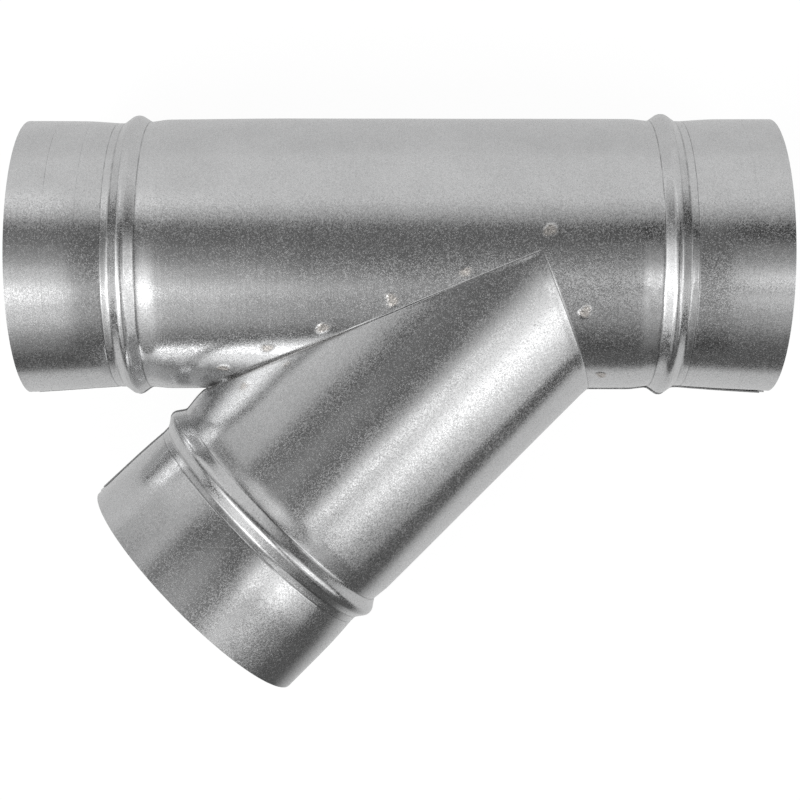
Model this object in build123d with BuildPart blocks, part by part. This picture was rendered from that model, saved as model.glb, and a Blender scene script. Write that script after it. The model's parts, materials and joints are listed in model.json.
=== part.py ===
from build123d import *
import os
from math import asin, cos, degrees, radians, sin, tan

# Duct Y branch in thin galvanised sheet, all sizes in millimetres and degrees.
# The run lies along +X with its first mouth at the origin. The branch leaves it
# towards -X and -Y, in the XY plane, so +Z is the side that faces up as it lies.

# Duct size and sheet
duct_bore = 100.0
slip_clearance = 0.3
wall = 0.5

# Layout: the plain body left between each neck and the crotch of the saddle
branch_angle = 45.0
first_body = 14.0
second_body = 15.8
branch_body = 5.0

# Spigot, from its mouth to the plain body
spigot_straight = 23.0
crease_taper = 9.8
neck_straight = 2.6
neck_recovery = 5.9
neck_depth = 0.8

# Stop bead rolled into the sheet. Its crown is a round drawn as two flats, between two
# flanks of the same slope.
bead_rise = 1.9
bead_flank_angle = 36.0
bead_crown_radius = 2.8

# Lap seam, where the two edges of the rolled sheet overlap
seam_angle = 89.0
lap_width = 7.0
joggle_width = 5.0
corner_setback = 2.5
corner_width = 3.5

# Flange on the branch, folded out under the wall of the run
flange_width_first = 7.5
flange_width_second = 8.5
flange_end_gap = 1.0
fold_width = 1.2
seat_gap = 0.05
seam_relief = 1.5

# Spot welds: each is (angle round the run, distance from the saddle joint)
weld_width = 4.5
weld_depth = 0.2
first_side_welds = [(9.0, 7.4), (20.5, 9.2), (33.0, 10.0), (43.5, 12.4), (56.7, 11.0)]
second_side_welds = [(25.5, 6.4), (62.3, 5.1)]
apex_weld_reach = 7.1

# Allowance by which cutting solids run past what they cut
overrun = 5.0

# Worked-out sizes of the spigot and its bead
outer_radius = duct_bore / 2 - slip_clearance
neck_radius = outer_radius - neck_depth
flank_slope = radians(bead_flank_angle)
peak_radius = outer_radius + bead_rise
shoulder_radius = peak_radius - bead_crown_radius * (1 - cos(flank_slope))
shoulder_offset = bead_crown_radius * sin(flank_slope)
bead_half_width = shoulder_offset + (shoulder_radius - neck_radius) / tan(flank_slope)
crease_setback = spigot_straight + crease_taper
bead_setback = crease_setback + neck_straight + bead_half_width
spigot_length = bead_setback + bead_half_width + neck_recovery

# Worked-out layout: where the axes cross, and the two crotches beside the crossing
half_angle = radians(branch_angle / 2)
first_crotch = outer_radius / tan(half_angle)
second_crotch = outer_radius * tan(half_angle)
crossing_x = spigot_length + first_body + first_crotch
run_length = crossing_x + second_crotch + second_body + spigot_length
branch_length = first_crotch + branch_body + spigot_length

# The saddle joint of two equal tubes lies in two planes, at right angles to each other
toward_first_crotch = radians(180) + half_angle
toward_second_crotch = toward_first_crotch + radians(90)
far_reach = run_length + branch_length
cut_height = peak_radius + overrun

# Worked-out sizes of the seam and the flange
lap_angle = degrees(lap_width / outer_radius)
joggle_angle = degrees(joggle_width / outer_radius)
corner_angle = degrees(corner_width / outer_radius)
flange_outer = outer_radius - wall - seat_gap
flange_inner = flange_outer - wall

run_plane = Plane.XZ
branch_plane = Plane(
    origin=(crossing_x, 0, 0),
    x_dir=(-cos(radians(branch_angle)), -sin(radians(branch_angle)), 0),
    z_dir=(-sin(radians(branch_angle)), cos(radians(branch_angle)), 0),
)


# Line of the sheet's outer face from a mouth to the plain body, as (station, radius)
def spigot_line(mouth, inward):
    stations = [
        (0, outer_radius),
        (spigot_straight, outer_radius),
        (crease_setback, neck_radius),
        (bead_setback - bead_half_width, neck_radius),
        (bead_setback - shoulder_offset, shoulder_radius),
        (bead_setback, peak_radius),
        (bead_setback + shoulder_offset, shoulder_radius),
        (bead_setback + bead_half_width, neck_radius),
        (spigot_length, outer_radius),
    ]
    return [(mouth + inward * setback, radius) for setback, radius in stations]


# Section of the sheet along the tube, moved out or in from its place by shift
def sheet_section(line, shift):
    outer_points = [(station, radius + shift) for station, radius in line]
    inner_points = [(station, radius + shift - wall) for station, radius in line]
    with BuildLine() as outline:
        Polyline(*outer_points, *reversed(inner_points), close=True)
    make_face(outline.edges())


# The axis of a tube, which lies along the X of its own plane
def tube_axis(tube_plane):
    return Axis(tube_plane.origin, tube_plane.x_dir)


# The plane through the axis of a tube at an angle, counted round it from +Z
def radial_plane(tube_plane, angle):
    normal = tube_plane.z_dir.rotate(tube_axis(tube_plane), angle)
    return Plane(origin=tube_plane.origin, x_dir=tube_plane.x_dir, z_dir=normal)


# One stretch of sheet, rolled round the axis from a start angle through an arc
def rolled_sheet(tube_plane, line, start, arc, shift):
    with BuildSketch(radial_plane(tube_plane, start)) as section:
        sheet_section(line, shift)
    revolve(section.sketch, axis=tube_axis(tube_plane), revolution_arc=arc)


# The joggle just before the seam, which takes the sheet in by its own thickness
def joggled_sheet(tube_plane, line):
    with BuildSketch(radial_plane(tube_plane, seam_angle - joggle_angle)) as start_section:
        sheet_section(line, 0)
    with BuildSketch(radial_plane(tube_plane, seam_angle)) as end_section:
        sheet_section(line, -wall)
    loft([start_section.sketch, end_section.sketch], ruled=True)


# A whole tube: the sheet goes once round from its outer edge at the seam, and its other
# edge is joggled in to lap under the first
def lapped_tube(tube_plane, line):
    rolled_sheet(tube_plane, line, seam_angle, 360 - joggle_angle, 0)
    joggled_sheet(tube_plane, line)
    rolled_sheet(tube_plane, line, seam_angle, lap_angle, -wall)


# The outer edge of the lap is clipped back from the mouth at its corner
def clip_lap_corner(tube_plane, mouth, inward):
    clip_low = outer_radius - wall
    clip_high = outer_radius + wall
    with BuildSketch(radial_plane(tube_plane, seam_angle)) as clip:
        Polygon(
            (mouth - inward * overrun, clip_low),
            (mouth + inward * corner_setback, clip_low),
            (mouth + inward * corner_setback, clip_high),
            (mouth - inward * overrun, clip_high),
            align=None,
        )
    revolve(
        clip.sketch,
        axis=tube_axis(tube_plane),
        revolution_arc=corner_angle,
        mode=Mode.SUBTRACT,
    )


# A point seen from above, at a distance and direction from another
def point_towards(start, distance, direction):
    return (start[0] + distance * cos(direction), start[1] + distance * sin(direction))


# The space on the branch side of the saddle planes, drawn in from each by its setback.
# The planes meet in an upright line, and each is square to the other.
def saddle_wedge(first_setback=0, second_setback=0):
    middle = point_towards((crossing_x, 0), first_setback, toward_second_crotch)
    apex = point_towards(middle, second_setback, toward_first_crotch)
    Polygon(
        apex,
        point_towards(apex, far_reach, toward_first_crotch),
        point_towards(apex, far_reach, toward_second_crotch),
        align=None,
    )


# Spot welds as (station, angle) on the run, on the side that faces +Z
def weld_places():
    first = [
        (crossing_x - first_crotch * sin(radians(angle)) - distance, angle)
        for angle, distance in first_side_welds
    ]
    second = [
        (crossing_x + second_crotch * sin(radians(angle)) + distance, angle)
        for angle, distance in second_side_welds
    ]
    above_apex = apex_weld_reach * cos(half_angle)
    apex = (
        crossing_x + apex_weld_reach * sin(half_angle),
        -degrees(asin(above_apex / outer_radius)),
    )
    return first + second + [apex]


# Electrode marks pressed into the run's outer face, on both sides of the saddle. Each
# is cut by a ball whose poles point along the run, clear of the mark.
def press_weld_marks():
    ball_radius = (weld_width**2 / 4 + weld_depth**2) / (2 * weld_depth)
    ball_height = outer_radius + ball_radius - weld_depth
    for station, angle in weld_places():
        for turned in (angle, 180 - angle):
            outward = Vector(0, -sin(radians(turned)), cos(radians(turned)))
            centre = Vector(station, 0, 0) + outward * ball_height
            with Locations(Plane(origin=centre, x_dir=outward, z_dir=(1, 0, 0))):
                Sphere(radius=ball_radius, mode=Mode.SUBTRACT)


os.makedirs("parts", exist_ok=True)

# Run: a lapped tube with a spigot at each end and the saddle hole in its side
run_line = spigot_line(0, 1) + spigot_line(run_length, -1)[::-1]
with BuildPart() as run_tube:
    lapped_tube(run_plane, run_line)
    clip_lap_corner(run_plane, 0, 1)
    clip_lap_corner(run_plane, run_length, -1)
    with BuildSketch(Plane.XY):
        saddle_wedge()
    extrude(amount=cut_height, both=True, mode=Mode.SUBTRACT)
    press_weld_marks()
run_tube.part.label = "run_tube"
export_step(run_tube.part, "parts/run_tube.step")

# Flange of the branch: a shell against the inside of the run, between the run's necks,
# which stops short of the seam's inner layer
flange_start = spigot_length + flange_end_gap
flange_room = run_length - 2 * flange_start
relief_angle = joggle_angle + lap_angle + 2 * seam_relief
with BuildPart() as saddle_flange:
    with BuildSketch(Plane.YZ.offset(flange_start)):
        Circle(flange_outer)
        Circle(flange_inner, mode=Mode.SUBTRACT)
    extrude(amount=flange_room)
    with BuildSketch(Plane.XY):
        saddle_wedge(-flange_width_first, -flange_width_second)
    extrude(amount=cut_height, both=True, mode=Mode.INTERSECT)
    with BuildSketch(Plane.XY):
        saddle_wedge()
    extrude(amount=cut_height, both=True, mode=Mode.SUBTRACT)
    with BuildSketch(radial_plane(run_plane, seam_angle - joggle_angle - seam_relief)):
        with Locations((run_length / 2, outer_radius)):
            Rectangle(run_length, 2 * overrun)
    revolve(axis=Axis.X, revolution_arc=relief_angle, mode=Mode.SUBTRACT)

# Fold: the thick inside edge where the branch wall turns out into its flange
with BuildPart() as saddle_fold:
    with BuildSketch(Plane(origin=branch_plane.origin, z_dir=branch_plane.x_dir)):
        Circle(outer_radius - wall / 2)
        Circle(flange_inner, mode=Mode.SUBTRACT)
    extrude(amount=branch_length)
    with BuildSketch(Plane.XY):
        saddle_wedge()
    extrude(amount=cut_height, both=True, mode=Mode.INTERSECT)
    with BuildSketch(Plane.XY):
        saddle_wedge(fold_width, fold_width)
    extrude(amount=cut_height, both=True, mode=Mode.SUBTRACT)

# Branch: a lapped tube with one spigot, cut on the saddle planes, with fold and flange
branch_line = [(-overrun, outer_radius)] + spigot_line(branch_length, -1)[::-1]
with BuildPart() as branch_tube:
    lapped_tube(branch_plane, branch_line)
    clip_lap_corner(branch_plane, branch_length, -1)
    with BuildSketch(Plane.XY):
        saddle_wedge()
    extrude(amount=cut_height, both=True, mode=Mode.INTERSECT)
    add(saddle_fold.part)
    add(saddle_flange.part)
branch_tube.part.label = "branch_tube"
export_step(branch_tube.part, "parts/branch_tube.step")
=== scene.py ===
"""Duct Y branch in galvanised sheet: its two rolled sheets, and the studio round it."""

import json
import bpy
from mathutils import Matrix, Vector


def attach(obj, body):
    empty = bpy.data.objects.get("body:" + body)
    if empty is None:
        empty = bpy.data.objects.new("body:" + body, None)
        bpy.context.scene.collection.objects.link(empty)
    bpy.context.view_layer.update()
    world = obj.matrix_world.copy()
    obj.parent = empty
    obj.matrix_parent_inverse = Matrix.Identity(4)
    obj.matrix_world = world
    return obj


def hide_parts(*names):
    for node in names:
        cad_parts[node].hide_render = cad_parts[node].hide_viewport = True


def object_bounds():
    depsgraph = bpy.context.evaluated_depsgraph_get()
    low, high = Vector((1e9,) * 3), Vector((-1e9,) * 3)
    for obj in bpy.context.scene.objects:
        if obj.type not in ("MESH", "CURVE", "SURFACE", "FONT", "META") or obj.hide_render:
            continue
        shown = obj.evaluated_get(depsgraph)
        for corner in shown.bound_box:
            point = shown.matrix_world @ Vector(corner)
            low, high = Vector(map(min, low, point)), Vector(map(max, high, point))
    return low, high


bl_info = {
    "name": "Duct Y Branch",
    "version": (1, 0, 0),
    "blender": (4, 5, 0),
    "location": "View3D > Sidebar > Duct",
    "description": "Builds a spot-welded duct Y branch in rolled galvanised sheet",
    "category": "Add Mesh",
}

import bmesh
import bpy
import numpy as np
from bpy.props import FloatProperty, FloatVectorProperty, PointerProperty
from mathutils import Euler, Vector

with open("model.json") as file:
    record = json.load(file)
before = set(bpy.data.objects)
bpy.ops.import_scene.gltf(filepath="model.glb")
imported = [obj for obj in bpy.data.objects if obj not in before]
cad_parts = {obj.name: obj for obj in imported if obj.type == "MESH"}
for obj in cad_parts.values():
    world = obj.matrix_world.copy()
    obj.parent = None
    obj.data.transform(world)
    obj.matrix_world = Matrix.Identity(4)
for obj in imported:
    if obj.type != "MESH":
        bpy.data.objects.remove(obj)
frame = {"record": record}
frame_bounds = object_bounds()

MM = 0.001
SHARP_ANGLE = np.radians(38.0)


# Sizes read from the frame
def mount(name):
    """One mount of the record, by its name."""
    return next(entry for entry in frame["record"]["mounts"] if entry["name"] == name)


RADIUS = mount("first_spigot")["dims"]["r_mm"] * MM
STRAIGHT = mount("first_spigot")["dims"]["length_mm"] * MM
RUN_LENGTH = mount("second_spigot")["pos_m"][0]
BRANCH_MOUTH = np.array(mount("branch_spigot")["pos_m"])
BRANCH_AXIS = np.array(mount("branch_spigot")["axis"])
BRANCH_AXIS = BRANCH_AXIS / np.linalg.norm(BRANCH_AXIS)
BRANCH_LENGTH = BRANCH_MOUTH[1] / BRANCH_AXIS[1]
CROSSING = BRANCH_MOUTH - BRANCH_LENGTH * BRANCH_AXIS
BRANCH_ANGLE = np.arctan2(-BRANCH_AXIS[1], -BRANCH_AXIS[0])
FIRST_CROTCH = RADIUS / np.tan(BRANCH_ANGLE / 2)
SECOND_CROTCH = RADIUS * np.tan(BRANCH_ANGLE / 2)
ACROSS = np.array([-np.sin(BRANCH_ANGLE), np.cos(BRANCH_ANGLE), 0.0])
UP = np.array([0.0, 0.0, 1.0])

# Seam in degrees: where the outer edge of the sheet lies, the joggle, and the lap under it
SEAM = 89.0
JOGGLE_ANGLE = 5.76
LAP_ANGLE = 8.07
JOGGLE_START = SEAM + 360.0 - JOGGLE_ANGLE
JOGGLE_END = JOGGLE_START + JOGGLE_ANGLE
LAP_END = SEAM + 360.0 + LAP_ANGLE
LIFT_FADE = (SEAM + 1.0, SEAM + 13.0)


# Mesh building
def smooth_step(value, low, high):
    """0 below low, 1 above high, and the cubic 3t² − 2t³ in between."""
    t = np.clip((value - low) / (high - low), 0.0, 1.0)
    return t * t * (3.0 - 2.0 * t)


def bump(value, centre, width):
    """A bell curve: e to the minus ((value − centre) / width)²."""
    return np.exp(-(((value - centre) / width) ** 2))


def angle_bump(degrees, centre, width):
    """The bell curve of an angle in degrees, with the turn closed on itself."""
    away = (degrees - centre + 180.0) % 360.0 - 180.0
    return np.exp(-((away / width) ** 2))


def smooth_positive(value, softness):
    """The value where it is positive and 0 where it isn't, with the corner rounded."""
    return 0.5 * (value + np.sqrt(value**2 + softness**2))


def smooth_corner(value, low, high, softness):
    """A straight ramp from 0 at low to 1 at high, each corner rounded by its own softness."""
    rise = smooth_positive(value - low, softness[0])
    return (rise - smooth_positive(value - high, softness[1])) / (high - low)


# Slow waves of the two sheets: their count, and each sheet's seed and longest wave
WAVE_COUNT = 14
RUN_WAVES = (5, 46.0 * MM)
BRANCH_WAVES = (8, 50.0 * MM)


def waves(along, around, seed, count, longest, size):
    """Sum of plane cosine waves over the sheet, with random directions and phases."""
    rng = np.random.default_rng(seed)
    total = np.zeros(np.broadcast(along, around).shape)
    for _ in range(count):
        direction = rng.uniform(0.0, 2.0 * np.pi)
        length = longest * rng.uniform(0.35, 1.0)
        phase = rng.uniform(0.0, 2.0 * np.pi)
        step = along * np.cos(direction) + around * np.sin(direction)
        total = total + (length / longest) * np.cos(2.0 * np.pi * step / length + phase)
    return size * total / np.sqrt(count)


def grid_quads(ids):
    """Quads between the neighbours of a grid of vertex numbers."""
    corners = (ids[:-1, :-1], ids[1:, :-1], ids[1:, 1:], ids[:-1, 1:])
    return np.stack([corner.ravel() for corner in corners], axis=1)


def edge_fans(fine, coarse, pick):
    """Triangles between two edges of a sheet, where coarse holds every pick-th row of fine."""
    rows = np.arange(len(fine) - 1)
    owner = np.searchsorted(pick, rows, side="right") - 1
    first = np.stack([fine[rows], fine[rows + 1], coarse[owner]], axis=1)
    steps = np.arange(len(coarse) - 1)
    second = np.stack([coarse[steps], fine[pick[steps + 1]], coarse[steps + 1]], axis=1)
    return np.concatenate([first, second])


def make_object(name, points, quads, triangles, attributes, material):
    """A closed mesh from points and faces, smooth but for its sharp rims."""
    corners = np.concatenate([quads.ravel(), triangles.ravel()])
    used, renumbered = np.unique(corners, return_inverse=True)
    quads = renumbered[: quads.size].reshape(-1, 4)
    triangles = renumbered[quads.size :].reshape(-1, 3)
    mesh = bpy.data.meshes.new(name)
    mesh.from_pydata(points[used].tolist(), [], quads.tolist() + triangles.tolist())
    build = bmesh.new()
    build.from_mesh(mesh)
    bmesh.ops.recalc_face_normals(build, faces=build.faces)
    build.to_mesh(mesh)
    build.free()
    for key, values in attributes.items():
        layer = mesh.attributes.new(key, "FLOAT_VECTOR", "POINT")
        layer.data.foreach_set("vector", values[used].astype(np.float32).ravel())
    mesh.shade_smooth()
    mesh.set_sharp_from_angle(angle=SHARP_ANGLE)
    mesh.materials.append(material)
    built = bpy.data.objects.new(name, mesh)
    bpy.context.scene.collection.objects.link(built)
    return built


def spread(*stops):
    """Numbers through the stops, given as value, count, value, count ... value."""
    parts = [
        np.linspace(stops[i], stops[i + 2], stops[i + 1], endpoint=False)
        for i in range(0, len(stops) - 2, 2)
    ]
    return np.concatenate(parts + [np.array([stops[-1]])])


# Shape of the spigot, shared by the three ends
SPIGOT_ROWS = spread(
    0.0, 2, 1.0, 6, 19.0, 12, 32.2, 8, 33.4, 5, 35.0, 34, 45.1, 6, 50.0, 2, 52.0
) * MM
TAPER_SOFTNESS = (4.0 * MM, 0.2 * MM)
RECOVERY_SOFTNESS = (1.2 * MM, 1.2 * MM)
GROOVE_WIDTH = 0.22 * MM
CROWN_DENT = 0.02 * MM


def spigot_rise(setback, settings):
    """Height of the sheet over its plain radius, by distance from the mouth.

    A straight taper leads down to the neck, and the sheet climbs back to the body beyond
    the bead. The bead is an arc of the crown's radius between two straight flanks, and
    smooth_positive rounds its feet. A fine groove, a bell curve, lies at the crease.
    """
    crease = STRAIGHT + settings.taper
    bead = crease + settings.neck + settings.bead_half_width
    end = bead + settings.bead_half_width
    taper = smooth_corner(setback, STRAIGHT, crease, TAPER_SOFTNESS)
    recovery = smooth_corner(setback, end, end + settings.recovery, RECOVERY_SOFTNESS)
    groove = settings.groove_depth * bump(setback, crease, GROOVE_WIDTH)
    neck = -settings.neck_depth * (taper - recovery) - groove
    flank = settings.flank_angle
    shoulder = settings.crown_radius * np.sin(flank)
    away = np.abs(setback - bead)
    arc = settings.crown_radius - np.sqrt(
        np.maximum(settings.crown_radius**2 - np.minimum(away, shoulder) ** 2, 0.0)
    )
    fall = arc + np.maximum(away - shoulder, 0.0) * np.tan(flank)
    height = settings.bead_rise + settings.neck_depth - fall
    bead_height = smooth_positive(height, settings.foot_softness)
    return neck + bead_height - CROWN_DENT * bump(away, 0.0, shoulder)


# Welds: (angle round the run, distance from the saddle joint, ring radius, ring height and
# bowl depth in millimetres, side on which the ring is strong in degrees)
FIRST_WELDS = (
    (9.0, 7.4, 1.7, 0.07, 0.05, 200.0),
    (20.5, 9.2, 2.1, 0.16, 0.04, 20.0),
    (33.0, 10.0, 1.9, 0.12, 0.05, 40.0),
    (43.5, 12.4, 1.8, 0.09, 0.12, 90.0),
    (56.7, 11.0, 1.9, 0.22, 0.14, -40.0),
)
SECOND_WELDS = (
    (25.5, 6.4, 2.0, 0.20, 0.08, 160.0),
    (62.3, 5.1, 1.9, 0.07, 0.08, 80.0),
)
# The weld over the apex: the same without its angle
APEX_WELD = (7.1, 2.1, 0.12, 0.07, -20.0)
# Width of a weld's bowl and the edges of its mark, as shares of its ring's radius
BOWL_SHARE = 0.7
MARK_SHARES = (0.7, 1.25)
WELD_SEED = 11


def weld_places():
    """Welds as (x, angle, shape), first those that face up, then their mirrors."""
    front = []
    sides = ((-1.0, FIRST_CROTCH, FIRST_WELDS), (1.0, SECOND_CROTCH, SECOND_WELDS))
    for side, crotch, welds in sides:
        for angle, distance, *form in welds:
            away = crotch * np.sin(np.radians(angle)) + distance * MM
            front.append((CROSSING[0] + side * away, angle, form))
    half = BRANCH_ANGLE / 2
    reach, *form = APEX_WELD
    apex_angle = -np.degrees(np.arcsin(reach * MM * np.cos(half) / RADIUS))
    front.append((CROSSING[0] + reach * MM * np.sin(half), apex_angle, form))
    return front + [(x, 180.0 - angle, form) for x, angle, form in front]


def weld_relief(x, degrees, settings):
    """Height and mark of the electrode prints.

    Each is a shallow bowl, minus a bell curve, inside an uneven ring: a bell curve of the
    distance from the ring, times 0.2 + cos⁴(half the turn from its strong side). The ring's
    radius is r·(1 + 0.16·cos(2·turn) + 0.10·cos(3·turn)) with phases of its own, and so is
    the edge of the mark.
    """
    rng = np.random.default_rng(WELD_SEED)
    height = np.zeros(x.shape)
    mark = np.zeros(x.shape)
    for centre, angle, (radius, ring_height, bowl_depth, side) in weld_places():
        phases = rng.uniform(0.0, 2.0 * np.pi, 2)
        along = x - centre
        around = np.radians((degrees - angle + 180.0) % 360.0 - 180.0) * RADIUS
        turn = np.arctan2(around, along)
        distance = np.hypot(along, around)
        oval = 0.16 * np.cos(2.0 * turn + phases[0])
        ring = radius * MM * (1.0 + oval + 0.10 * np.cos(3.0 * turn + phases[1]))
        arc = 0.2 + np.cos(0.5 * (turn - np.radians(side))) ** 4
        height += settings.weld_strength * (
            ring_height * MM * arc * bump(distance, ring, settings.ring_width)
            - bowl_depth * MM * bump(distance, 0.0, BOWL_SHARE * ring)
        )
        mark += 1.0 - smooth_step(distance, MARK_SHARES[0] * ring, MARK_SHARES[1] * ring)
    return height, np.clip(mark, 0.0, 1.0)


def lap_shift(turn, lift, sink):
    """Shift of the sheet at the seam: up by lift at its outer edge, down by sink at its inner."""
    outer = lift * (1.0 - smooth_step(turn, *LIFT_FADE))
    inner = sink * smooth_step(turn, JOGGLE_START, JOGGLE_END)
    return outer - inner


# The clipped corner: leeway in degrees for the row at its end, and how far rows are moved
CORNER_MARGIN = 0.01
CLIP_REACH = 8.0 * MM


def clipped_setback(setback, turn, settings):
    """Distance from the mouth, with the corner of the outer edge clipped back."""
    corner = np.degrees(settings.corner_width / RADIUS)
    clip = settings.corner_setback * (turn < SEAM + corner + CORNER_MARGIN)
    return setback + clip * np.clip(1.0 - setback / CLIP_REACH, 0.0, 1.0)


# Turn of the sheet in degrees from its outer edge to its inner edge
CORNER_TURN = SEAM + 4.03
CORNER_STEP = SEAM + 4.3
RUN_TURNS = spread(
    SEAM, 4, CORNER_TURN, 1, CORNER_STEP, 12, 112.0, 50, 180.0, 10, 192.0, 70, 348.0, 16,
    360.0, 110, 428.0, 12, JOGGLE_START, 8, JOGGLE_END, 5, LAP_END,
)
BRANCH_TURNS = spread(
    SEAM, 4, CORNER_TURN, 1, CORNER_STEP, 40, 180.0, 45, 270.0, 60, 360.0, 62,
    JOGGLE_START, 8, JOGGLE_END, 5, LAP_END,
)


def run_point(x, degrees, radius):
    """Point on the run: x along it, and the angle from +Z towards −Y at the radius."""
    angle = np.radians(degrees)
    parts = np.broadcast_arrays(x, -radius * np.sin(angle), radius * np.cos(angle))
    return np.stack(parts, axis=-1)


# Slow changes of the run's shape: the stretches from a mouth over which they fade, and
# where round the tube they are greatest, as an angle and a width in degrees
SPIGOT_FADE = (34.0 * MM, 50.0 * MM)
SAG_FADE = (44.0 * MM, 95.0 * MM)
SAG_EASE = (40.0 * MM, 52.0 * MM)
LAP_FADE = 38.0 * MM
FLARE_SIDE = (95.0, 42.0)
LOW_SIDE = (270.0, 50.0)
FIRST_FLARE = 1.4
# Seam of the run: how far its outer edge stands up and its inner one is sunk, at each end
FIRST_LIFT, SECOND_LIFT, SECOND_LIFT_GAIN = 0.06 * MM, 0.50 * MM, 0.35 * MM
FIRST_SINK, SECOND_SINK = 0.44 * MM, 0.1 * MM
# Share of the sag that is eased off beyond the bead, on the branch side
SAG_EASED = 0.4
# The burr along the saddle hole keeps these shares on the second side and at the acute
# crotch, past these sines of the angle
SECOND_BURR = 0.3
CROTCH_BURR = 0.2
CROTCH_SINES = (0.40, 0.60)
# Sines of the angle over which the joint's forms grow from its two ends
JOINT_ENDS = (0.0, 0.02)


def run_radius(x, turn, settings, detail):
    """Radius of the run's outer face, with beads, lap, flared mouths, waves and welds.

    The first spigot's top is low by a bell curve of the angle. Up to the body it also lies
    a little to the side of the branch: by sag·sin(angle), eased beyond the bead.
    """
    degrees = turn % 360.0
    sine = np.sin(np.radians(degrees))
    second = x > CROSSING[0]
    setback = np.where(second, RUN_LENGTH - x, x)
    rise = spigot_rise(setback, settings.spigot)
    flare = np.clip(1.0 - setback / STRAIGHT, 0.0, 1.0)
    seam_side = angle_bump(degrees, *FLARE_SIDE)
    rise = rise + settings.flare * np.where(second, 1.0, FIRST_FLARE) * flare * seam_side
    spigot = 1.0 - smooth_step(setback, *SPIGOT_FADE)
    low = np.where(second, 0.0, settings.low_top) * angle_bump(degrees, *LOW_SIDE)
    rise = rise - low * spigot
    sag = settings.sag * sine * (1.0 - smooth_step(x, *SAG_FADE))
    rise = rise + sag * (1.0 - SAG_EASED * (sine > 0.0) * smooth_step(x, *SAG_EASE))
    gap = np.clip(1.0 - setback / LAP_FADE, 0.0, 1.0)
    lift = np.where(second, SECOND_LIFT + SECOND_LIFT_GAIN * gap, FIRST_LIFT)
    rise = rise + lap_shift(turn, lift, np.where(second, SECOND_SINK, FIRST_SINK))
    around = np.radians(turn) * RADIUS
    seed, longest = RUN_WAVES
    rise = rise + waves(x, around, seed, WAVE_COUNT, longest, settings.waviness)
    if detail:
        edge = joint_edge(x, degrees, settings.edge_width)
        rise = rise + weld_relief(x, degrees, settings)[0]
        share = 1.0 - (1.0 - CROTCH_BURR) * smooth_step(sine, *CROTCH_SINES)
        rise = rise + settings.edge_rise * np.where(second, SECOND_BURR, share) * edge
    return RADIUS + rise


def joint_edge(x, degrees, width):
    """1 at the edge of the saddle hole, falling straight to 0 at a width from it."""
    opening = np.maximum(np.sin(np.radians(degrees)), 0.0)
    before = CROSSING[0] - FIRST_CROTCH * opening - x
    after = x - CROSSING[0] - SECOND_CROTCH * opening
    from_joint = np.where(x > CROSSING[0], after, before)
    return smooth_step(opening, *JOINT_ENDS) * np.clip(1.0 - from_joint / width, 0.0, 1.0)


# Rows of the run by the joint: their places as shares of a zone, the zones' widths before
# and after the joint, and the counts of rows between joint and spigot
JOINT_ROWS = spread(0.0, 3, 0.036, 26, 1.0)
JOINT_ZONES = (14.8 * MM, 10.0 * MM)
ZONE_SHARE = 0.8
STRETCH_ROWS = (36, 10)
JOINT_GAP = 0.01 * MM
# The outer face has this many rows to one of the inner face
RUN_INNER_STEP = 5
BRANCH_INNER_STEP = 2


def run_rows(turn):
    """x of every row of the run, for the part before the saddle joint and the part after.

    Rows by the mouths keep their distance from them, rows by the joint keep theirs from
    it, and those between are spread evenly.
    """
    opening = np.maximum(np.sin(np.radians(turn)), 0.0)
    clear = JOINT_GAP * smooth_step(opening, *JOINT_ENDS)
    first_end = CROSSING[0] - FIRST_CROTCH * opening - clear
    second_end = CROSSING[0] + SECOND_CROTCH * opening + clear
    body = SPIGOT_ROWS[-1]
    far = RUN_LENGTH - body
    near = JOINT_ROWS[:, None]
    first_zone = np.minimum(JOINT_ZONES[0], ZONE_SHARE * (first_end - body))
    second_zone = np.minimum(JOINT_ZONES[1], ZONE_SHARE * (far - second_end))
    first_stretch, second_stretch = (even_shares(count) for count in STRETCH_ROWS)
    spigot = np.broadcast_to(SPIGOT_ROWS[:, None], (len(SPIGOT_ROWS), len(turn)))
    first = np.concatenate([
        spigot,
        body + first_stretch * (first_end - first_zone - body),
        first_end - near[::-1] * first_zone,
    ])
    second = np.concatenate([
        second_end + near * second_zone,
        second_end + second_zone + second_stretch * (far - second_end - second_zone),
        RUN_LENGTH - spigot[::-1],
    ])
    return first, second


def even_shares(count):
    """Even steps between 0 and 1 as a column, both ends left out."""
    return np.linspace(0.0, 1.0, count, endpoint=False)[1:, None]


def coarse_rows(count, step):
    """Row numbers from first to last by the step, both ends kept."""
    return np.unique(np.append(np.arange(0, count, step), count - 1))


# The painted highlight on the cut edge of the saddle hole fades out between these sines of the
# angle
HIGHLIGHT_FADE = (0.30, 0.55)


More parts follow.
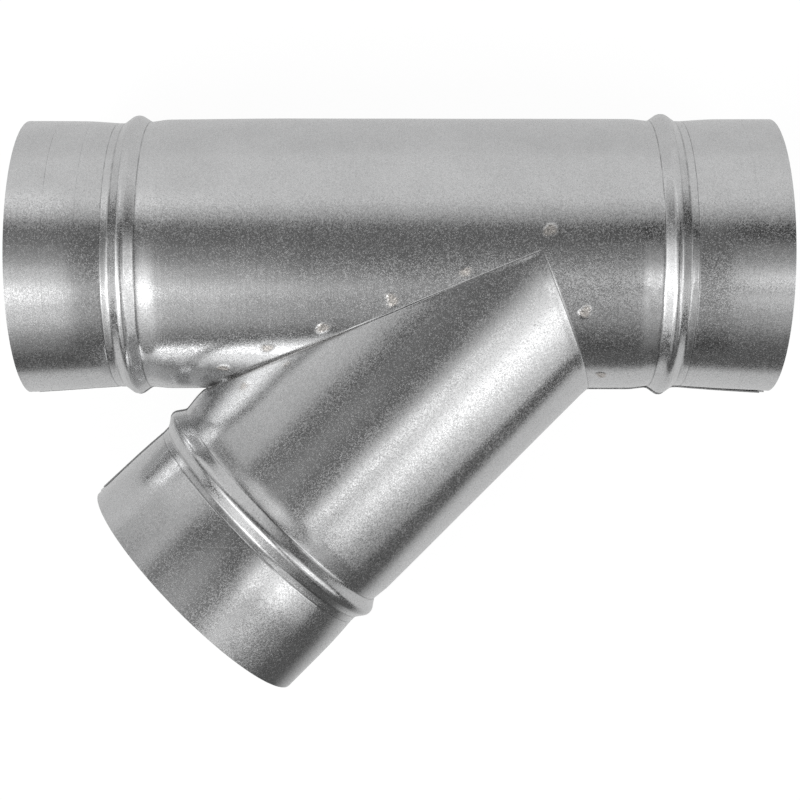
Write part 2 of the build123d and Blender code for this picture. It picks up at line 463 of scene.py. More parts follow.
def build_run(settings, material):
    """The run: outer face and inner face of the sheet, joined by rims at every edge.

    Its sheet attribute holds the place on the unrolled sheet and a mark: up to 1 in a weld,
    down to −1 on the cut edge of the saddle hole, which carries a painted highlight.
    """
    turn = RUN_TURNS
    opening = np.sin(np.radians(turn)) > 1e-9
    points = []
    marks = []
    numbers = {}
    count = 0
    picks = {}
    for face in ("outer", "inner"):
        for part, x in zip(("first", "second"), run_rows(turn)):
            if face == "inner":
                picks[part] = coarse_rows(len(x), RUN_INNER_STEP)
                x = x[picks[part]]
            if part == "first":
                x = clipped_setback(x, turn, settings.spigot)
            else:
                x = RUN_LENGTH - clipped_setback(RUN_LENGTH - x, turn, settings.spigot)
            turns = np.broadcast_to(turn, x.shape)
            radius = run_radius(x, turns, settings, face == "outer")
            if face == "inner":
                radius = radius - settings.spigot.wall
            points.append(run_point(x, turns, radius).reshape(-1, 3))
            mark = np.zeros(x.shape)
            if face == "outer":
                # Painted highlight along the cut edge of the saddle hole
                painted_highlight = 1.0 - smooth_step(np.sin(np.radians(turns)), *HIGHLIGHT_FADE)
                mark = weld_relief(x, turns % 360.0, settings)[1]
                mark = mark - painted_highlight * joint_edge(x, turns % 360.0, settings.edge_width)
            marks.append(np.stack([x, np.radians(turns) * RADIUS, mark], axis=-1).reshape(-1, 3))
            ids = np.arange(x.size).reshape(x.shape) + count
            count += x.size
            if part == "second":
                ids[0, ~opening] = numbers[face, "first"][-1, ~opening]
            numbers[face, part] = ids
    quads = [grid_quads(ids) for ids in numbers.values()]
    triangles = []
    for part, mouth_row, joint_row in (("first", 0, -1), ("second", -1, 0)):
        outer = numbers["outer", part]
        inner = numbers["inner", part]
        quads.append(grid_quads(np.stack([outer[mouth_row], inner[mouth_row]])))
        rim = grid_quads(np.stack([outer[joint_row], inner[joint_row]]))
        quads.append(rim[opening[:-1] | opening[1:]])
        for column in (0, -1):
            triangles.append(edge_fans(outer[:, column], inner[:, column], picks[part]))
    attributes = {"sheet": np.concatenate(marks)}
    return make_object(
        "run_tube_look",
        np.concatenate(points),
        np.concatenate(quads),
        np.concatenate(triangles),
        attributes,
        material,
    )


def branch_point(along, degrees, radius):
    """Point on the branch: distance from the crossing, and the angle from +Z to its acute side."""
    angle = np.radians(degrees)[..., None]
    outward = np.cos(angle) * UP + np.sin(angle) * ACROSS
    return CROSSING + along[..., None] * BRANCH_AXIS + radius[..., None] * outward


def branch_start(turn):
    """Distance from the crossing at which the branch leaves the run, by angle."""
    sine = np.sin(np.radians(turn))
    return np.where(sine > 0.0, FIRST_CROTCH * sine, -SECOND_CROTCH * sine)


# Slow changes of the branch's shape, and its seam: lift, further lift by the mouth, sink
BRANCH_LAP_FADE = 46.0 * MM
BRANCH_FLARE_SIDE = (90.0, 36.0)
BRANCH_LAP = (0.42 * MM, 0.2 * MM, 0.12 * MM)
# The bend on the acute side: the sines over which it starts, and its widths beside and on it
ACUTE_FADE = (0.12, 0.45)
BEND_WIDTH = 0.06 * MM
ACUTE_BEND_WIDTH = 1.8 * MM
# Angles of the open gaps and of the tacks near the acute crotch, and their widths
GAP_TURNS, GAP_SPREAD = (65.2, 114.8), 2.2
TACK_TURNS, TACK_SPREAD = (69.6, 110.4), 1.5
LIP_START = 0.04 * MM
LIP_END = 4.0 * MM
TACK_PLACE = (0.7 * MM, 0.9 * MM)


def twin_bump(turn, centres, width):
    """1 at two angles, by a bell curve of each."""
    return angle_bump(turn, centres[0], width) + angle_bump(turn, centres[1], width)


def branch_radius(along, turn, settings, dip):
    """Radius of the branch's outer face, with its bead, lap, mouth, waves and bend.

    At the joint the sheet drops by the dip, times 0.2 on the obtuse side and 1 on the acute
    one, deeper in the two gaps and filled up at the two tacks.
    """
    setback = BRANCH_LENGTH - along
    rise = spigot_rise(setback, settings.spigot)
    gap = np.clip(1.0 - setback / BRANCH_LAP_FADE, 0.0, 1.0)
    flare = np.clip(1.0 - setback / STRAIGHT, 0.0, 1.0)
    rise = rise + settings.flare * flare * angle_bump(turn, *BRANCH_FLARE_SIDE)
    lift, gain, sink = BRANCH_LAP
    rise = rise + lap_shift(turn, lift + gain * gap, sink)
    around = np.radians(turn) * RADIUS
    seed, longest = BRANCH_WAVES
    rise = rise + waves(along, around, seed, WAVE_COUNT, longest, settings.waviness)
    from_joint = np.maximum(along - branch_start(turn), 0.0)
    acute = smooth_step(np.sin(np.radians(turn)), *ACUTE_FADE)
    gap = twin_bump(turn, GAP_TURNS, GAP_SPREAD)
    width = BEND_WIDTH + ACUTE_BEND_WIDTH * acute
    lip = settings.lip_height * smooth_step(from_joint, LIP_START, settings.lip_width)
    lip = lip * (1.0 - acute) * (1.0 - smooth_step(from_joint, settings.lip_width, LIP_END))
    tack = twin_bump(turn, TACK_TURNS, TACK_SPREAD)
    lump = settings.tack_height * tack * bump(from_joint, *TACK_PLACE)
    depth = dip * (0.2 + 0.8 * acute + 0.9 * gap) * (1.0 - 0.8 * tack)
    return RADIUS + rise + lip + lump - depth * (1.0 - smooth_step(from_joint, 0.0, width))


def flange_points(turn, reach, radius):
    """Points of the flange, at a reach from the saddle joint, under the wall of the run.

    On the unrolled run the joint is x = c·sin(angle). The reach is laid off square to it,
    away from the hole, and rolled up again at the flange's radius.
    """
    angle = np.radians(turn)
    sine = np.sin(angle)
    first = sine > 0.0
    # the run's angle at the joint equals the branch's where the two meet
    run_angle = np.where(first, angle, -angle)
    crotch = np.where(first, -FIRST_CROTCH, SECOND_CROTCH)
    x = CROSSING[0] + crotch * np.abs(sine)
    tangent_x = crotch * np.cos(run_angle)
    length = np.hypot(RADIUS, tangent_x)
    side = np.sign(crotch)
    out_x = side * RADIUS / length
    out_around = -side * tangent_x / length
    x = x + reach * out_x
    run_angle = run_angle + reach * out_around / RADIUS
    return run_point(x, np.degrees(run_angle), radius)


# Rows of the branch by the joint, as shares of a zone, and between joint and spigot
BRANCH_JOINT_ROWS = spread(0.0, 2, 0.01, 10, 0.09, 7, 0.3, 7, 1.0)
BRANCH_ZONE = 6.0 * MM
BRANCH_ZONE_SHARE = 0.75
BRANCH_STRETCH_ROWS = 42
BRANCH_CLIP_REACH = 9.0 * MM
# Flange: the angles from a crotch over which it widens, its least width, rows and seat
FLANGE_FADE = (10.0, 17.0)
FLANGE_LEAST = 0.02 * MM
FLANGE_ROWS = 6
SEAT_GAP = 0.05 * MM
# Painted shade in the valley along the joint, and painted highlight on the tacks: sines of
# the angle, and distances from the joint
VALLEY_SHADE_SINES = (0.48, 0.60)
VALLEY_SHADE_WIDTHS = (1.8 * MM, 4.2 * MM)
TACK_WIDTHS = (1.6 * MM, 3.0 * MM)


def build_branch(settings, material):
    """The branch: from its flange under the run, over the bend, to the mouth, both faces.

    Its sheet attribute holds the place on the unrolled sheet and a mark: up to 1 for the
    painted shade in the valley along the joint, down to −1 for the painted highlight on the tacks.
    """
    turn = BRANCH_TURNS
    spigot = settings.spigot
    start = branch_start(turn)
    body_end = BRANCH_LENGTH - SPIGOT_ROWS[-1]
    zone = np.minimum(BRANCH_ZONE, BRANCH_ZONE_SHARE * (body_end - start))
    rows = np.concatenate([
        start + BRANCH_JOINT_ROWS[:, None] * zone,
        start + zone + even_shares(BRANCH_STRETCH_ROWS) * (body_end - start - zone),
        np.broadcast_to(BRANCH_LENGTH - SPIGOT_ROWS[::-1, None], (len(SPIGOT_ROWS), len(turn))),
    ])
    turns = np.broadcast_to(turn, rows.shape)
    setback = clipped_setback(BRANCH_LENGTH - rows, turns, spigot)
    rows = np.where(BRANCH_LENGTH - rows < BRANCH_CLIP_REACH, BRANCH_LENGTH - setback, rows)
    crotch = np.abs(turn % 180.0 - 90.0)
    width = settings.flange_width * smooth_step(crotch, *FLANGE_FADE) + FLANGE_LEAST
    reach = width * spread(1.0, FLANGE_ROWS, 0.0)[:-1, None]
    flange_turn = np.broadcast_to(turn, reach.shape)
    numbers = {}
    points = []
    marks = []
    count = 0
    for face, drop in (("outer", 0.0), ("inner", spigot.wall)):
        pick = coarse_rows(len(rows), 1 if face == "outer" else BRANCH_INNER_STEP)
        along = rows[pick]
        radius = branch_radius(along, turns[pick], settings, settings.bend_depth) - drop
        wall_part = branch_point(along, turns[pick], radius)
        under = RADIUS - spigot.wall - SEAT_GAP - drop
        flange = flange_points(flange_turn, reach, np.full(reach.shape, under))
        shell = np.concatenate([flange, wall_part])
        points.append(shell.reshape(-1, 3))
        along_all = np.concatenate([np.broadcast_to(start, reach.shape) - reach, along])
        around_all = np.radians(np.broadcast_to(turn, along_all.shape)) * RADIUS
        mark = np.zeros(along_all.shape)
        if face == "outer":
            # Painted shade in the valley along the joint, and a painted highlight on the tacks
            from_joint = np.maximum(along - start, 0.0)
            tack = twin_bump(turn, TACK_TURNS, TACK_SPREAD)
            band = smooth_step(np.sin(np.radians(turn)), *VALLEY_SHADE_SINES) * (1.0 - tack)
            mark[len(reach) :] = band * (1.0 - smooth_step(from_joint, *VALLEY_SHADE_WIDTHS))
            mark[len(reach) :] -= tack * (1.0 - smooth_step(from_joint, *TACK_WIDTHS))
        marks.append(np.stack([along_all, around_all, mark], axis=-1).reshape(-1, 3))
        numbers[face] = np.arange(shell.shape[0] * shell.shape[1]).reshape(shell.shape[:2]) + count
        count += shell.shape[0] * shell.shape[1]
    outer, inner = numbers["outer"], numbers["inner"]
    quads = [grid_quads(outer), grid_quads(inner)]
    for row in (0, -1):
        quads.append(grid_quads(np.stack([outer[row], inner[row]])))
    flange_rows = np.arange(len(reach))
    wall_rows = len(reach) + coarse_rows(len(rows), BRANCH_INNER_STEP)
    pick = np.concatenate([flange_rows, wall_rows])
    triangles = [edge_fans(outer[:, column], inner[:, column], pick) for column in (0, -1)]
    return make_object(
        "branch_tube_look",
        np.concatenate(points),
        np.concatenate(quads),
        np.concatenate(triangles),
        {"sheet": np.concatenate(marks)},
        material,
    )


# Shader maths
class Value:
    """A number or colour socket that can stand in a formula."""

    def __init__(self, tree, socket):
        self.tree = tree
        self.socket = socket

    def calc(self, operation, *others):
        """One Math node of this value and the others."""
        node = self.tree.nodes.new("ShaderNodeMath")
        node.operation = operation
        for slot, item in zip(node.inputs, (self, *others)):
            if isinstance(item, Value):
                self.tree.links.new(item.socket, slot)
            else:
                slot.default_value = float(item)
        return Value(self.tree, node.outputs[0])

    def of(self, number):
        """A fixed number as a value of the same tree."""
        node = self.tree.nodes.new("ShaderNodeValue")
        node.outputs[0].default_value = float(number)
        return Value(self.tree, node.outputs[0])

    def __add__(self, other):
        return self.calc("ADD", other)

    __radd__ = __add__

    def __mul__(self, other):
        return self.calc("MULTIPLY", other)

    __rmul__ = __mul__

    def __sub__(self, other):
        return self.calc("SUBTRACT", other)

    def __rsub__(self, other):
        return self.of(other).calc("SUBTRACT", self)

    def step(self, low, high):
        """0 below low, 1 above high, smooth between."""
        node = self.tree.nodes.new("ShaderNodeMapRange")
        node.interpolation_type = "SMOOTHSTEP"
        self.tree.links.new(self.socket, node.inputs["Value"])
        node.inputs["From Min"].default_value = low
        node.inputs["From Max"].default_value = high
        return Value(self.tree, node.outputs["Result"])


class Graph:
    """A node tree with one method for adding its nodes."""

    def __init__(self, tree):
        self.tree = tree
        tree.nodes.clear()

    def node(self, kind, inputs=None, **settings):
        """A node of a kind, with its settings made and its inputs linked or set."""
        made = self.tree.nodes.new(kind)
        for key, value in settings.items():
            setattr(made, key, value)
        for key, value in (inputs or {}).items():
            if isinstance(value, Value):
                self.tree.links.new(value.socket, made.inputs[key])
            elif isinstance(value, bpy.types.NodeSocket):
                self.tree.links.new(value, made.inputs[key])
            else:
                made.inputs[key].default_value = value
        return made

    def value(self, socket):
        """A socket as a value for formulas."""
        return Value(self.tree, socket)

    def noise(self, vector, scale, detail=2.0, roughness=0.5):
        """The factor of a noise texture over a vector."""
        made = self.node(
            "ShaderNodeTexNoise",
            {"Vector": vector, "Scale": scale, "Detail": detail, "Roughness": roughness},
        )
        return self.value(made.outputs["Fac"])

    def vector(self, operation, *parts):
        """One Vector Math node of vectors."""
        made = self.node("ShaderNodeVectorMath", dict(enumerate(parts)), operation=operation)
        return made.outputs["Vector"]

    def stretch(self, vector, factors):
        """A vector with each of its parts multiplied."""
        return self.vector("MULTIPLY", vector, factors)

    def mix(self, factor, first, second):
        """A colour between two others."""
        made = self.node("ShaderNodeMix", {0: factor, 6: first, 7: second}, data_type="RGBA")
        return made.outputs[2]

    def scale_colour(self, colour, factor):
        """A colour multiplied by a value."""
        inputs = {0: colour, "Scale": factor}
        made = self.node("ShaderNodeVectorMath", inputs, operation="SCALE")
        return made.outputs["Vector"]


# Thin lines round the tube: (place, half width, both in millimetres, darkness). The first table is
# painted shade along the crease and the bead, placed from every mouth; scribed lines are placed
# from the first mouth of the run.
CREASE_SHADE_LINES = ((32.8, 0.26, 0.42), (35.7, 0.55, 0.32), (38.6, 0.22, 0.16), (44.6, 0.30, 0.45))
CREASE_SHADE_CORE = 0.3
SCRIBE_LINES = ((12.8, 0.16, 0.30), (24.0, 0.16, 0.20), (259.0, 0.16, 0.14))
SCRIBE_CORE = 0.2

# Waves per metre, along and round the sheet, of the patterns that follow it
ROLLED_SCALE = (3600.0, 90.0, 1.0)
DRAWN_SCALE = (900.0, 12.0, 1.0)
WORN_SCALE = (40.0, 160.0, 1.0)
# Where the worn pattern is under this edge, a line of painted crease shade keeps only a share of
# its darkness
WORN_EDGE = (0.36, 0.56)
WORN_SHARE = 0.45

# Shares of the textures in the sheet's tone
TONE_SHARES = {
    "shade": 0.26, "grain": 0.25, "roller": 0.08, "cloud": 0.30, "patch": 0.12, "lines": 0.06,
}

# Strengths of the finish: lengths are heights of the relief, the rest are plain shares
ZINC = {
    "tone": 0.75,
    "sparkle": 0.34,
    "clouded": 0.08,
    "weld_rough": 0.10,
    "weld_tint": 0.7,
    "tilt": 0.06,
    "grain": 0.006 * MM,
    "roller": 0.004 * MM,
    "lines": 0.010 * MM,
    "lumps": 0.34 * MM,
}


def thin_lines(distance, lines, core):
    """Darkness of thin lines: for each, 1 − smoothstep of the distance from its place."""
    return sum(
        (1.0 - (distance - place * MM).calc("ABSOLUTE").step(core * width * MM, width * MM)) * dark
        for place, width, dark in lines
    )


def zinc_material(name, finish, seed, middle, half_length, scribed, prints, valley_shade):
    """Zinc-coated sheet: metal with fine grain, roller lines and cloudy patches.

    A Voronoi pattern gives each grain its own tone, roughness and tilt. Thin dark lines run
    round the tube. Lines of painted shade along the crease and the bead keep their distance
    from the mouths of a tube with the given middle and half length. Marks over 0 are tinted
    and lumpy as welds, by the factor prints, and darkened as painted shade by the last factor.
    Marks under 0 take a painted highlight in the bright colour.
    """
    material = bpy.data.materials.new(name)
    material.use_nodes = True
    graph = Graph(material.node_tree)
    place = graph.node("ShaderNodeTexCoord").outputs["Object"]
    place = graph.vector("ADD", place, (seed, 0.0, 0.0))
    sheet = graph.node("ShaderNodeAttribute", attribute_name="sheet").outputs["Vector"]
    parts = graph.node("ShaderNodeSeparateXYZ", {0: sheet})
    along, mark = (graph.value(parts.outputs[k]) for k in "XZ")
    # Marks over 0 are weld prints, and on the branch painted shade in the valley; marks under 0
    # are painted highlight
    weld, painted_highlight = mark.calc("MAXIMUM", 0.0), (mark * -1.0).calc("MAXIMUM", 0.0)
    setback = half_length - (along - middle).calc("ABSOLUTE")
    flat = graph.stretch(sheet, (1.0, 1.0, 0.0))

    cells = graph.node("ShaderNodeTexVoronoi", {"Vector": place, "Scale": 3300.0})
    cell_parts = graph.node("ShaderNodeSeparateXYZ", {0: cells.outputs["Color"]})
    cell = graph.value(cell_parts.outputs["X"])
    rolled = graph.stretch(flat, ROLLED_SCALE)
    drawn = graph.stretch(flat, DRAWN_SCALE)
    worn = graph.stretch(flat, WORN_SCALE)
    textures = {
        "shade": graph.value(cell_parts.outputs["Y"]),
        "grain": graph.noise(place, scale=2800.0, roughness=0.6),
        "roller": graph.noise(rolled, scale=1.0),
        "cloud": graph.noise(place, scale=70.0, detail=4.0, roughness=0.6),
        "patch": graph.noise(place, scale=24.0),
        "lines": graph.noise(drawn, scale=1.0, detail=3.0),
    }
    lumps = graph.noise(place, scale=850.0, roughness=0.6)
    broken = graph.noise(worn, scale=1.0, detail=3.0).step(*WORN_EDGE)

    kept = WORN_SHARE + (1.0 - WORN_SHARE) * broken
    # Painted shade: the lines along the crease and the bead, and on the branch the valley along
    # the joint; the scribed lines join them.
    dark = thin_lines(setback, CREASE_SHADE_LINES, CREASE_SHADE_CORE) * kept
    dark = dark + thin_lines(along, SCRIBE_LINES, SCRIBE_CORE) * broken * scribed + weld * valley_shade
    tone = sum(share * (textures[key] - 0.5) for key, share in TONE_SHARES.items())
    tone = tone * ZINC["tone"] + 1.0 - dark
    base = graph.scale_colour(finish.sheet_colour, tone)
    tint = graph.scale_colour(finish.weld_colour, tone)
    colour = graph.mix(weld * (ZINC["weld_tint"] * prints), base, tint)
    # Painted highlight: the bright colour on the cut edge of the saddle hole and on the tacks
    colour = graph.mix(painted_highlight.step(0.1, 0.7), colour, (*finish.highlight_colour, 1.0))

    clouded = (textures["cloud"] - 0.5) + (textures["patch"] - 0.5)
    rough = finish.roughness + ZINC["clouded"] * clouded + ZINC["sparkle"] * cell * cell
    rough = rough + ZINC["weld_rough"] * weld

    height = sum(textures[key] * ZINC[key] for key in ("grain", "roller", "lines"))
    height = height + weld * lumps * (ZINC["lumps"] * prints)
    straight = graph.node("ShaderNodeNewGeometry").outputs["Normal"]
    tilt = graph.vector("SUBTRACT", cells.outputs["Color"], (0.5, 0.5, 0.5))
    tilted = graph.vector("MULTIPLY_ADD", tilt, (ZINC["tilt"],) * 3, straight)
    normal = graph.vector("NORMALIZE", tilted)
    bumped = graph.node("ShaderNodeBump", {"Height": height, "Distance": 1.0, "Normal": normal})
    shader = graph.node("ShaderNodeBsdfPrincipled", {
        "Base Color": colour,
        "Metallic": 1.0,
        "Roughness": rough,
        "Normal": bumped.outputs["Normal"],
    })
    graph.node("ShaderNodeOutputMaterial", {"Surface": shader.outputs["BSDF"]})
    return material


# The studio: soft lights as (x and y of their direction, width, strength). Most of the
# strengths come from a least-squares fit of test renders to the photograph, made by a
# separate script. The rest were set one by one.
LIGHTS = (
    (-0.79, -0.53, 0.15, 0.89),
    (-0.81, -0.27, 0.15, 2.32),
    (-0.81, 0.00, 0.15, 1.29),
    (-0.81, 0.27, 0.15, 0.23),
    (-0.53, -0.79, 0.15, 0.34),
    (-0.54, -0.54, 0.15, 5.12),
    (-0.54, -0.27, 0.15, 1.52),
    (-0.54, 0.00, 0.15, 0.59),
    (-0.54, 0.27, 0.15, 0.13),
    (-0.27, -0.81, 0.15, 0.94),
    (-0.27, -0.54, 0.15, 1.57),
    (-0.27, -0.27, 0.15, 0.76),
    (-0.27, 0.00, 0.15, 0.29),
    (-0.27, 0.27, 0.15, 0.16),
    (0.00, -0.81, 0.15, 0.21),
    (0.00, -0.54, 0.15, 0.21),
    (0.00, -0.27, 0.15, 0.08),
    (0.00, 0.00, 0.15, 0.11),
    (0.00, 0.27, 0.15, 0.14),
    (0.27, -0.81, 0.15, 0.54),
    (0.27, -0.27, 0.15, 0.67),
    (0.27, 0.00, 0.15, 0.34),
    (0.53, -0.79, 0.15, 0.11),
    (0.54, -0.54, 0.15, 1.90),
    (0.54, -0.27, 0.15, 0.63),
    (0.54, 0.00, 0.15, 0.14),
    (0.54, 0.27, 0.15, 0.23),
    (0.79, -0.53, 0.15, 1.02),
    (0.81, -0.27, 0.15, 1.82),
    (0.81, 0.00, 0.15, 0.93),
    (0.81, 0.27, 0.15, 0.09),
    (-0.66, 0.70, 0.12, 0.10),
    (-0.30, 0.62, 0.15, 0.34),
    (0.20, -0.42, 0.10, 0.36),
    (0.22, -0.62, 0.10, 0.83),
    (0.00, -0.42, 0.10, 0.11),
    (0.38, -0.40, 0.10, 0.65),
    (0.68, -0.68, 0.10, 0.38),
    (-0.42, -0.66, 0.10, 0.24),
    (0.10, -0.20, 0.10, 0.08),
    (0.26, -0.40, 0.08, 0.80),
    (0.24, -0.34, 0.08, 0.25),
    (-0.68, 0.38, 0.10, 0.40),
)


# The pale wall rises in steps of y: (start, end, share of its strength)
WALL_STEPS = ((0.34, 0.44, 0.35), (0.44, 0.54, 0.36), (0.54, 0.70, 0.29))


def studio_world(wall_strength, ceiling_strength):
    """The studio: a pale wall on +Y, a dim ceiling and soft lights, by direction.

    Each light is strength·e to the minus (distance / width)², where the distance is that of
    the direction's x and y from the light's. The camera itself sees plain white.
    """
    world = bpy.data.worlds.new("studio")
    world.use_nodes = True
    bpy.context.scene.world = world
    graph = Graph(world.node_tree)
    place = graph.node("ShaderNodeTexCoord").outputs["Object"]
    parts = graph.node("ShaderNodeSeparateXYZ", {0: place})
    y = graph.value(parts.outputs["Y"])
    wall = sum(share * y.step(low, high) for low, high, share in WALL_STEPS)
    total = wall * wall_strength + ceiling_strength
    flat = graph.stretch(place, (1.0, 1.0, 0.0))
    for centre_x, centre_y, width, strength in LIGHTS:
        centre = (centre_x, centre_y, 0.0)
        away = graph.node("ShaderNodeVectorMath", {0: flat, 1: centre}, operation="DISTANCE")
        away = graph.value(away.outputs["Value"])
        fall = (away * away * (-1.0 / width**2)).calc("EXPONENT")
        total = fall.calc("MULTIPLY_ADD", strength, total)
    seen = graph.value(graph.node("ShaderNodeLightPath").outputs["Is Camera Ray"])
    total = total * (1.0 - seen) + seen
    background = graph.node("ShaderNodeBackground", {"Color": (1.0,) * 4, "Strength": total})
    graph.node("ShaderNodeOutputWorld", {"Surface": background.outputs["Background"]})


# The floor: its white to the camera, its white in the metal, and the edge of the pale table
FLOOR_WHITE = 0.92
FLOOR_GLOW = 0.59
TABLE_EDGE = (-0.26, -0.16)


def floor_material(diffuse_share):
    """Pale floor that stays white to the eye and to metal, and keeps the soft shadow."""
    material = bpy.data.materials.new("floor")
    material.use_nodes = True
    graph = Graph(material.node_tree)
    path = graph.node("ShaderNodeLightPath").outputs
    colour = (diffuse_share, diffuse_share, diffuse_share, 1.0)
    diffuse = graph.node("ShaderNodeBsdfDiffuse", {"Color": colour})
    place = graph.node("ShaderNodeTexCoord").outputs["Object"]
    parts = graph.node("ShaderNodeSeparateXYZ", {0: place})
    table = graph.value(parts.outputs["Y"]).step(*TABLE_EDGE)
    white = graph.value(path["Is Camera Ray"]) * FLOOR_WHITE
    mirrored = graph.value(path["Is Glossy Ray"]) + graph.value(path["Is Transmission Ray"])
    glow = white + mirrored * table * FLOOR_GLOW
    glowing = graph.node("ShaderNodeEmission", {"Strength": glow})
    both = graph.node("ShaderNodeAddShader", {0: diffuse.outputs[0], 1: glowing.outputs[0]})
    graph.node("ShaderNodeOutputMaterial", {"Surface": both.outputs[0]})
    return material


# Settings
class SpigotSettings(bpy.types.PropertyGroup):
    """Sizes of a spigot, its crease, neck and bead."""

    wall: FloatProperty(
        name="Wall", description="Thickness of the sheet", default=0.5 * MM, unit="LENGTH"
    )
    taper: FloatProperty(
        name="Taper", description="Length of the taper down to the neck",
        default=9.8 * MM, unit="LENGTH",
    )
    neck: FloatProperty(
        name="Neck", description="Straight stretch before the bead",
        default=2.6 * MM, unit="LENGTH",
    )
    recovery: FloatProperty(
        name="Recovery", description="Climb from the neck to the body",
        default=5.9 * MM, unit="LENGTH",
    )
    neck_depth: FloatProperty(
        name="Neck depth", description="Drop of the neck", default=0.8 * MM, unit="LENGTH"
    )
    bead_rise: FloatProperty(
        name="Bead rise", description="Crown of the bead over the plain radius",
        default=1.88 * MM, unit="LENGTH",
    )
    bead_half_width: FloatProperty(
        name="Bead half width", description="Crown to foot of the bead",
        default=4.626 * MM, unit="LENGTH",
    )
    crown_radius: FloatProperty(
        name="Crown radius", description="Radius of the bead's crown",
        default=2.8 * MM, unit="LENGTH",
    )
    flank_angle: FloatProperty(
        name="Flank angle", description="Slope of the bead's flanks",
        default=np.radians(36.0), subtype="ANGLE",
    )
    groove_depth: FloatProperty(
        name="Groove depth", description="Depth of the fine groove at the crease",
        default=0.05 * MM, unit="LENGTH",
    )
    foot_softness: FloatProperty(
        name="Foot softness", description="Rounding at the feet of the bead",
        default=0.3 * MM, unit="LENGTH",
    )
    corner_width: FloatProperty(
        name="Corner width", description="Width of the clipped lap corner",
        default=3.5 * MM, unit="LENGTH",
    )
    corner_setback: FloatProperty(
        name="Corner setback", description="Setback of the clipped lap corner",
        default=2.5 * MM, unit="LENGTH",
    )


class RunSettings(bpy.types.PropertyGroup):
    """Sizes of the run."""

    spigot: PointerProperty(type=SpigotSettings)
    flare: FloatProperty(
        name="Flare", description="Spread of the mouths on the seam side",
        default=1.1 * MM, unit="LENGTH",
    )
    waviness: FloatProperty(
        name="Waviness", description="Size of the slow waves in the sheet",
        default=0.02 * MM, unit="LENGTH",
    )
    low_top: FloatProperty(
        name="Low top", description="Drop of the first spigot's far side",
        default=0.6 * MM, unit="LENGTH",
    )
    sag: FloatProperty(
        name="Sag", description="Shift of the first spigot towards the branch",
        default=0.45 * MM, unit="LENGTH",
    )
    ring_width: FloatProperty(
        name="Ring width", description="Width of a weld's raised ring",
        default=0.5 * MM, unit="LENGTH",
    )
    edge_width: FloatProperty(
        name="Edge width", description="Width of the burr along the saddle hole",
        default=0.36 * MM, unit="LENGTH",
    )
    edge_rise: FloatProperty(
        name="Edge rise", description="Height of the burr along the saddle hole",
        default=0.15 * MM, unit="LENGTH",
    )
    weld_strength: FloatProperty(
        name="Weld strength", description="Factor on the relief of the welds", default=1.0
    )


class BranchSettings(bpy.types.PropertyGroup):
    """Sizes of the branch."""

    spigot: PointerProperty(type=SpigotSettings)
    flare: FloatProperty(
        name="Flare", description="Spread of the mouth on the seam side",
        default=0.6 * MM, unit="LENGTH",
    )
    waviness: FloatProperty(
        name="Waviness", description="Size of the slow waves in the sheet",
        default=0.02 * MM, unit="LENGTH",
    )
    flange_width: FloatProperty(
        name="Flange width", description="Reach of the flange under the run",
        default=7.5 * MM, unit="LENGTH",
    )
    bend_depth: FloatProperty(
        name="Bend depth", description="Depth of the bend at the saddle joint",
        default=0.5 * MM, unit="LENGTH",
    )
    lip_width: FloatProperty(
        name="Lip width", description="Width of the rounded lip along the saddle joint",
        default=0.5 * MM, unit="LENGTH",
    )
    lip_height: FloatProperty(
        name="Lip height", description="Height of the lip over the run",
        default=0.17 * MM, unit="LENGTH",
    )
    tack_height: FloatProperty(
        name="Tack height", description="Height of the tacks near the acute crotch",
        default=0.4 * MM, unit="LENGTH",
    )


class FinishSettings(bpy.types.PropertyGroup):
    """Colours and roughness of the zinc-coated sheet."""

    sheet_colour: FloatVectorProperty(
        name="Sheet colour", description="Colour of the zinc before its speckle darkens it",
        default=(0.635, 0.637, 0.64), min=0.0, max=1.0, subtype="COLOR",
    )
    weld_colour: FloatVectorProperty(
        name="Weld colour", description="Warmer colour of the spot-weld prints",
        default=(0.63, 0.585, 0.54), min=0.0, max=1.0, subtype="COLOR",
    )
    # Painted highlight on the cut edge of the saddle hole and on the tacks
    highlight_colour: FloatVectorProperty(
        name="Highlight colour", description="Bright colour of the cut edge and the tacks",
        default=(0.80, 0.80, 0.80), min=0.0, max=1.0, subtype="COLOR",
    )
    roughness: FloatProperty(
        name="Roughness", description="Roughness of the smoothest grains of the zinc",
        default=0.11, min=0.0, max=1.0, subtype="FACTOR",
    )


class StageSettings(bpy.types.PropertyGroup):
    """Camera, floor and studio."""

    lens: FloatProperty(name="Lens", description="Focal length in millimetres", default=77.30)
    height: FloatProperty(
        name="Height", description="Camera over the axes of the tubes",
        default=0.63688, unit="LENGTH",
    )
    before: FloatProperty(
        name="Before", description="Camera's distance before the crossing",
        default=0.0486, unit="LENGTH",
    )
    below: FloatProperty(
        name="Below", description="Camera's distance to the branch side",
        default=0.01854, unit="LENGTH",
    )
    shift: FloatProperty(
        name="Shift", description="Vertical shift of the frame", default=-0.1207
    )
    roll: FloatProperty(
        name="Roll", description="Turn of the camera", default=0.00138, subtype="ANGLE"
    )
    floor_share: FloatProperty(
        name="Floor share", description="Diffuse share of the floor's white", default=0.15
    )
    floor_reach: FloatProperty(
        name="Floor reach", description="Half width of the floor", default=6.0, unit="LENGTH"
    )
    wall_strength: FloatProperty(
        name="Wall", description="Strength of the pale studio wall", default=0.755
    )
    ceiling_strength: FloatProperty(
        name="Ceiling", description="Strength of the dim studio ceiling", default=0.01
    )


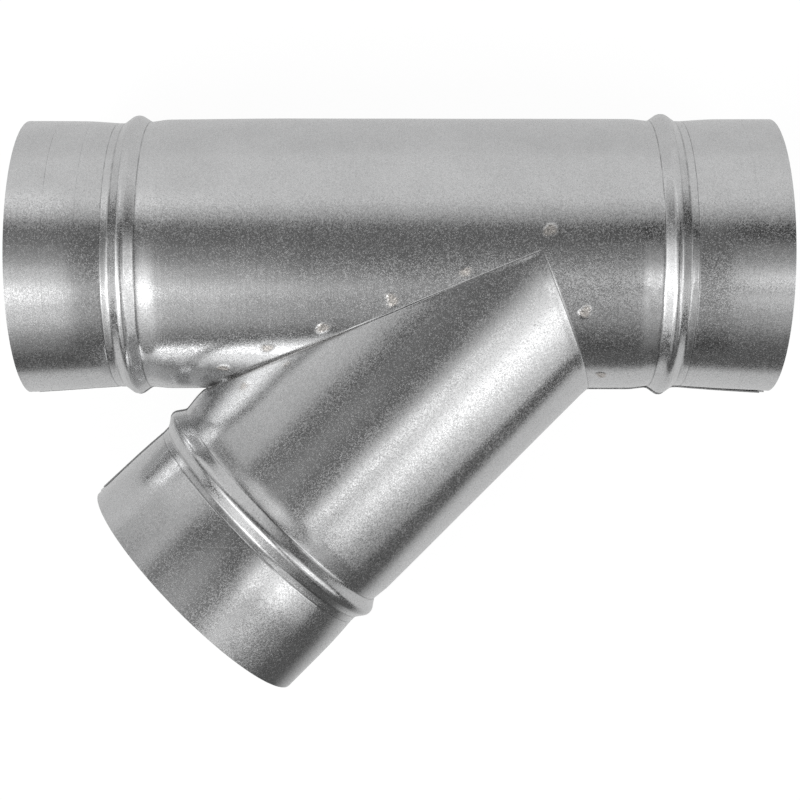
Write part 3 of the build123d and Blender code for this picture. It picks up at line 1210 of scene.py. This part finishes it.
# Operators
class DUCT_OT_run(bpy.types.Operator):
    """Build the run with its two spigots, seam, saddle hole and spot welds"""

    bl_idname = "duct.run"
    bl_label = "Build run"

    def execute(self, context):
        half = RUN_LENGTH / 2
        zinc = zinc_material(
            "zinc_run", context.scene.duct_finish,
            seed=0.0, middle=half, half_length=half, scribed=1.0, prints=1.0, valley_shade=0.0,
        )
        built = build_run(context.scene.duct_run, zinc)
        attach(built, "root")
        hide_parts("run_tube")
        return {"FINISHED"}


class DUCT_OT_branch(bpy.types.Operator):
    """Build the branch with its spigot, seam, bend and flange"""

    bl_idname = "duct.branch"
    bl_label = "Build branch"

    def execute(self, context):
        # The branch's material paints shade into the valley along the joint, by the factor given
        # last
        zinc = zinc_material(
            "zinc_branch", context.scene.duct_finish,
            seed=3.0, middle=0.0, half_length=BRANCH_LENGTH, scribed=0.0, prints=0.2, valley_shade=0.36,
        )
        built = build_branch(context.scene.duct_branch, zinc)
        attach(built, "root")
        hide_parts("branch_tube")
        return {"FINISHED"}


class DUCT_OT_stage(bpy.types.Operator):
    """Set the floor, the studio and the camera"""

    bl_idname = "duct.stage"
    bl_label = "Set stage"

    def execute(self, context):
        settings = context.scene.duct_stage
        floor_z = frame_bounds[0][2]
        reach = settings.floor_reach
        mesh = bpy.data.meshes.new("floor")
        turns = ((-1, -1), (1, -1), (1, 1), (-1, 1))
        corners = [(side * reach, end * reach, floor_z) for side, end in turns]
        mesh.from_pydata(corners, [], [(0, 1, 2, 3)])
        mesh.materials.append(floor_material(settings.floor_share))
        floor = bpy.data.objects.new("floor", mesh)
        context.scene.collection.objects.link(floor)
        studio_world(settings.wall_strength, settings.ceiling_strength)
        data = bpy.data.cameras.new("camera")
        data.lens = settings.lens
        data.sensor_width = 36.0
        data.shift_y = settings.shift
        camera = bpy.data.objects.new("camera", data)
        across = CROSSING[0] - settings.before
        camera.location = Vector((across, -settings.below, settings.height))
        camera.rotation_euler = Euler((0.0, 0.0, settings.roll))
        context.scene.collection.objects.link(camera)
        context.scene.camera = camera
        context.scene.view_settings.view_transform = "Standard"
        return {"FINISHED"}


def draw_settings(layout, settings):
    """List the properties of a group, with those of a group inside it in a box."""
    for key in settings.__annotations__:
        value = getattr(settings, key)
        if isinstance(value, bpy.types.PropertyGroup):
            draw_settings(layout.box(), value)
        else:
            layout.prop(settings, key)


class VIEW3D_PT_duct(bpy.types.Panel):
    """Sidebar panel with the operators and their settings"""

    bl_label = "Duct Y branch"
    bl_space_type = "VIEW_3D"
    bl_region_type = "UI"
    bl_category = "Duct"

    def draw(self, context):
        """List the finish first, then each operator with its settings."""
        scene = context.scene
        draw_settings(self.layout.box(), scene.duct_finish)
        for operator, settings in (
            ("duct.run", scene.duct_run),
            ("duct.branch", scene.duct_branch),
            ("duct.stage", scene.duct_stage),
        ):
            self.layout.operator(operator)
            draw_settings(self.layout, settings)


CLASSES = (
    SpigotSettings,
    RunSettings,
    BranchSettings,
    FinishSettings,
    StageSettings,
    DUCT_OT_run,
    DUCT_OT_branch,
    DUCT_OT_stage,
    VIEW3D_PT_duct,
)


def register():
    """Register the classes and hang the settings on the scene."""
    for entry in CLASSES:
        bpy.utils.register_class(entry)
    bpy.types.Scene.duct_run = PointerProperty(type=RunSettings)
    bpy.types.Scene.duct_branch = PointerProperty(type=BranchSettings)
    bpy.types.Scene.duct_finish = PointerProperty(type=FinishSettings)
    bpy.types.Scene.duct_stage = PointerProperty(type=StageSettings)


def unregister():
    """Undo register."""
    del bpy.types.Scene.duct_stage
    del bpy.types.Scene.duct_finish
    del bpy.types.Scene.duct_branch
    del bpy.types.Scene.duct_run
    for entry in reversed(CLASSES):
        bpy.utils.unregister_class(entry)


def main():
    """Build the fitting and its stage."""
    register()
    bpy.ops.duct.run()
    bpy.ops.duct.branch()
    bpy.ops.duct.stage()


if __name__ == "__main__":
    main()
